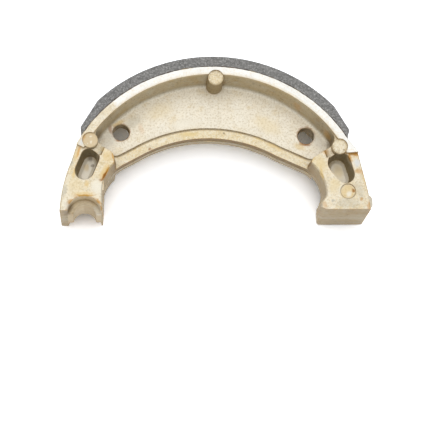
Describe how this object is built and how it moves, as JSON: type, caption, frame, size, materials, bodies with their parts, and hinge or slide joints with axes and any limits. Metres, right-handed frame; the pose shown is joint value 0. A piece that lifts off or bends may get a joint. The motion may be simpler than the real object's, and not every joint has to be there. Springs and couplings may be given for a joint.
{
  "type": "brake shoe",
  "caption": "Curved die-cast drum brake shoe with a bonded friction lining, a half-round anchor pin seat at one end and a flat cam face at the other.",
  "frame": {"origin": "where the drum's axis meets the side the shoe lies on (side B), with the lining worn in to the drum", "axes": "+X from the anchor pin end to the cam end, +Y out through the middle of the lining, +Z along the drum's axis towards side A"},
  "size_m": [0.1226, 0.0617, 0.028],
  "materials": {
    "casting": "die-cast aluminium with a warm cream passivated skin, orange-brown stains at the edges and machined rim sides",
    "lining": "moulded mid-grey friction composite with pale specks"
  },
  "bodies": {
    "root": {"shoe_casting": "casting", "friction_lining": "lining"}
  },
  "joints": []
}
